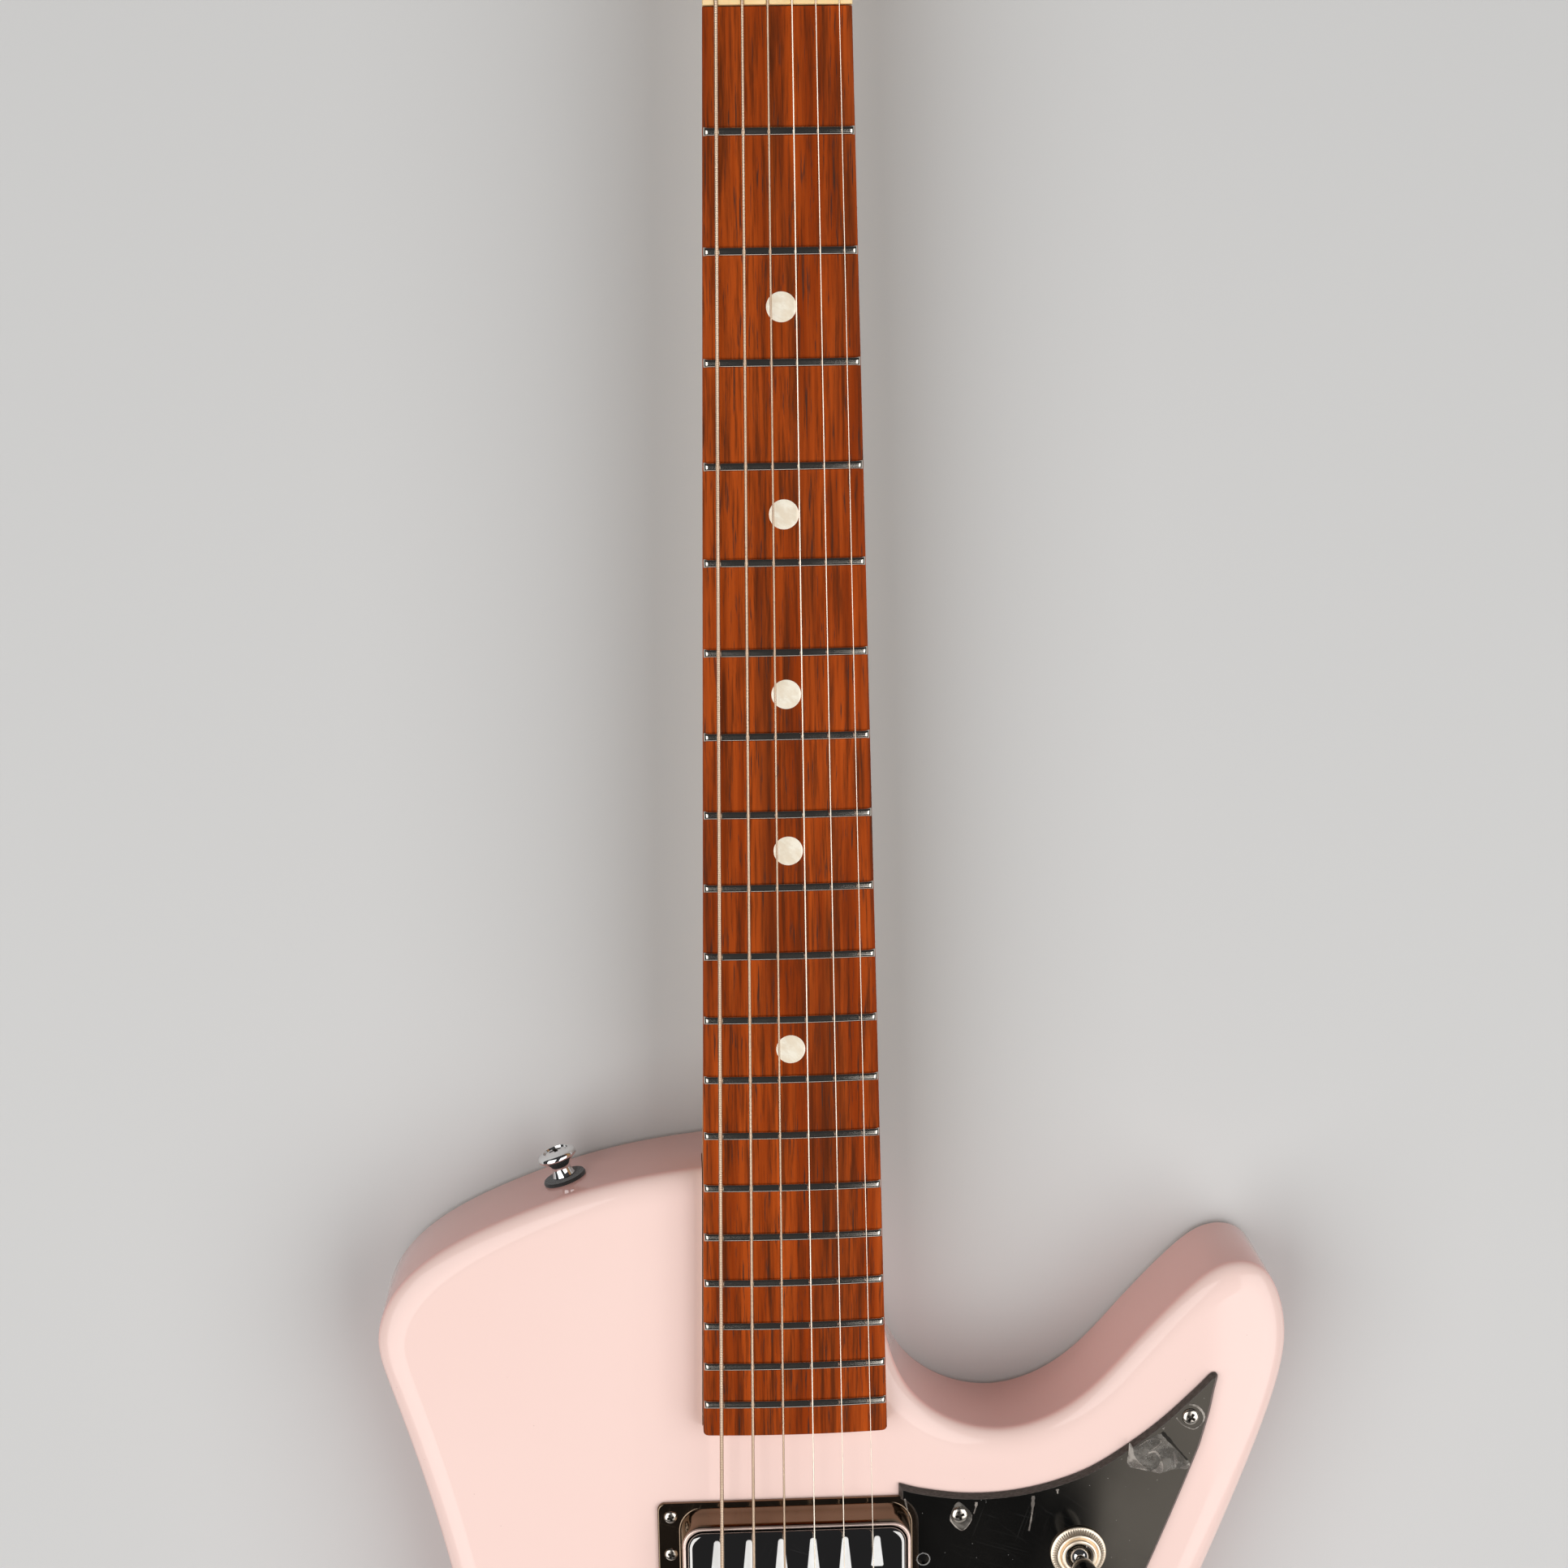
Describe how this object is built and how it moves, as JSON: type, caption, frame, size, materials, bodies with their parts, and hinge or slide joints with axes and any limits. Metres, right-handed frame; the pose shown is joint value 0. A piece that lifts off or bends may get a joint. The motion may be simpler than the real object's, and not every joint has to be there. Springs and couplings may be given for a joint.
{
  "type": "electric guitar",
  "caption": "Solid-body electric guitar with a bolted neck, two pickups on raised rings, a pickguard with controls, a bridge, a tailpiece and geared tuners.",
  "frame": {"origin": "on the flat back of the body, under the bridge line, on the centreline of the neck", "axes": "+X to the treble side, +Y along the neck to the headstock, +Z out of the front"},
  "size_m": [0.3142, 0.9379, 0.0693],
  "materials": {
    "pink_gloss": "pale pink gloss lacquer on wood",
    "neck_wood": "satin lacquer on maple",
    "board_wood": "oiled reddish brown rosewood, with nickel frets",
    "bone": "polished cream bone",
    "nickel": "warm polished nickel",
    "chrome": "polished chrome",
    "steel": "drawn or plated steel",
    "wound_string": "round-wound steel",
    "black_gloss": "polished black plastic",
    "dark_mirror": "dark mirror plating",
    "white_bobbin": "satin white plastic"
  },
  "bodies": {
    "guitar": {"body": "pink_gloss", "neck": "neck_wood", "fingerboard": "board_wood", "nut": "bone", "truss_rod": "steel", "switch_body": "steel", "volume_pot": "steel", "tone_pot": "steel", "string_1": "steel", "string_2": "steel", "string_3": "steel", "string_4": "wound_string", "string_5": "wound_string", "string_6": "wound_string", "truss_rod_cover": "black_gloss", "pickguard": "black_gloss", "neck_plate": "chrome", "neck_screw_1": "chrome", "neck_screw_2": "chrome", "neck_screw_3": "chrome", "neck_screw_4": "chrome", "strap_button_upper": "chrome", "strap_button_lower": "chrome", "tuner_housing_1": "chrome", "tuner_housing_2": "chrome", "tuner_housing_3": "chrome", "tuner_housing_4": "chrome", "tuner_housing_5": "chrome", "tuner_housing_6": "chrome", "neck_pickup_ring": "nickel", "bridge_pickup_ring": "nickel", "switch_nut": "nickel", "output_jack": "nickel", "bridge": "nickel", "tailpiece": "nickel", "bridge_stud_bass": "nickel", "bridge_stud_treble": "nickel", "tailpiece_stud_bass": "nickel", "tailpiece_stud_treble": "nickel", "neck_pickup_cover": "dark_mirror", "bridge_pickup_cover": "dark_mirror", "neck_pickup_coil": "white_bobbin", "bridge_pickup_coil": "white_bobbin"},
    "switch_lever": {"switch_lever": "chrome", "switch_tip": "black_gloss"},
    "volume_knob": {"volume_knob": "black_gloss"},
    "tone_knob": {"tone_knob": "black_gloss"},
    "tuner_key_1": {"tuner_key_1": "chrome"},
    "tuner_post_1": {"tuner_post_1": "chrome"},
    "tuner_key_2": {"tuner_key_2": "chrome"},
    "tuner_post_2": {"tuner_post_2": "chrome"},
    "tuner_key_3": {"tuner_key_3": "chrome"},
    "tuner_post_3": {"tuner_post_3": "chrome"},
    "tuner_key_4": {"tuner_key_4": "chrome"},
    "tuner_post_4": {"tuner_post_4": "chrome"},
    "tuner_key_5": {"tuner_key_5": "chrome"},
    "tuner_post_5": {"tuner_post_5": "chrome"},
    "tuner_key_6": {"tuner_key_6": "chrome"},
    "tuner_post_6": {"tuner_post_6": "chrome"}
  },
  "joints": [
    {"name": "switch_throw", "type": "hinge", "parent": "guitar", "child": "switch_lever", "pos_m": [0.0892, 0.1535, 0.0468], "axis": [1, 0, 0], "range_deg": [-14, 14]},
    {"name": "volume_turn", "type": "hinge", "parent": "guitar", "child": "volume_knob", "pos_m": [0.082, 0.03, 0.05], "axis": [0, 0, 1], "range_deg": [-150, 150]},
    {"name": "tone_turn", "type": "hinge", "parent": "guitar", "child": "tone_knob", "pos_m": [0.099, -0.022, 0.05], "axis": [0, 0, 1], "range_deg": [-150, 150]},
    {"name": "tuner_key_1_turn", "type": "hinge", "parent": "guitar", "child": "tuner_key_1", "pos_m": [0.024, 0.67496, 0.02229], "axis": [1, 0, 0], "continuous": true},
    {"name": "tuner_post_1_turn", "type": "hinge", "parent": "guitar", "child": "tuner_post_1", "pos_m": [0.024, 0.66989, 0.04103], "axis": [0, 0.1045, 0.9945], "continuous": true},
    {"name": "tuner_key_2_turn", "type": "hinge", "parent": "guitar", "child": "tuner_key_2", "pos_m": [0.0255, 0.71673, 0.01791], "axis": [1, 0, 0], "continuous": true},
    {"name": "tuner_post_2_turn", "type": "hinge", "parent": "guitar", "child": "tuner_post_2", "pos_m": [0.0255, 0.71166, 0.03664], "axis": [0, 0.1045, 0.9945], "continuous": true},
    {"name": "tuner_key_3_turn", "type": "hinge", "parent": "guitar", "child": "tuner_key_3", "pos_m": [0.027, 0.7585, 0.01351], "axis": [1, 0, 0], "continuous": true},
    {"name": "tuner_post_3_turn", "type": "hinge", "parent": "guitar", "child": "tuner_post_3", "pos_m": [0.027, 0.75343, 0.03225], "axis": [0, 0.1045, 0.9945], "continuous": true},
    {"name": "tuner_key_4_turn", "type": "hinge", "parent": "guitar", "child": "tuner_key_4", "pos_m": [-0.027, 0.7585, 0.01351], "axis": [-1, 0, 0], "continuous": true},
    {"name": "tuner_post_4_turn", "type": "hinge", "parent": "guitar", "child": "tuner_post_4", "pos_m": [-0.027, 0.75343, 0.03225], "axis": [0, 0.1045, 0.9945], "continuous": true},
    {"name": "tuner_key_5_turn", "type": "hinge", "parent": "guitar", "child": "tuner_key_5", "pos_m": [-0.0255, 0.71673, 0.01791], "axis": [-1, 0, 0], "continuous": true},
    {"name": "tuner_post_5_turn", "type": "hinge", "parent": "guitar", "child": "tuner_post_5", "pos_m": [-0.0255, 0.71166, 0.03664], "axis": [0, 0.1045, 0.9945], "continuous": true},
    {"name": "tuner_key_6_turn", "type": "hinge", "parent": "guitar", "child": "tuner_key_6", "pos_m": [-0.024, 0.67496, 0.02229], "axis": [-1, 0, 0], "continuous": true},
    {"name": "tuner_post_6_turn", "type": "hinge", "parent": "guitar", "child": "tuner_post_6", "pos_m": [-0.024, 0.66989, 0.04103], "axis": [0, 0.1045, 0.9945], "continuous": true}
  ],
  "couplings": [
    {"joint": "tuner_post_1_turn", "follows": "tuner_key_1_turn", "ratio": -0.066667},
    {"joint": "tuner_post_2_turn", "follows": "tuner_key_2_turn", "ratio": -0.066667},
    {"joint": "tuner_post_3_turn", "follows": "tuner_key_3_turn", "ratio": -0.066667},
    {"joint": "tuner_post_4_turn", "follows": "tuner_key_4_turn", "ratio": 0.066667},
    {"joint": "tuner_post_5_turn", "follows": "tuner_key_5_turn", "ratio": 0.066667},
    {"joint": "tuner_post_6_turn", "follows": "tuner_key_6_turn", "ratio": 0.066667}
  ]
}
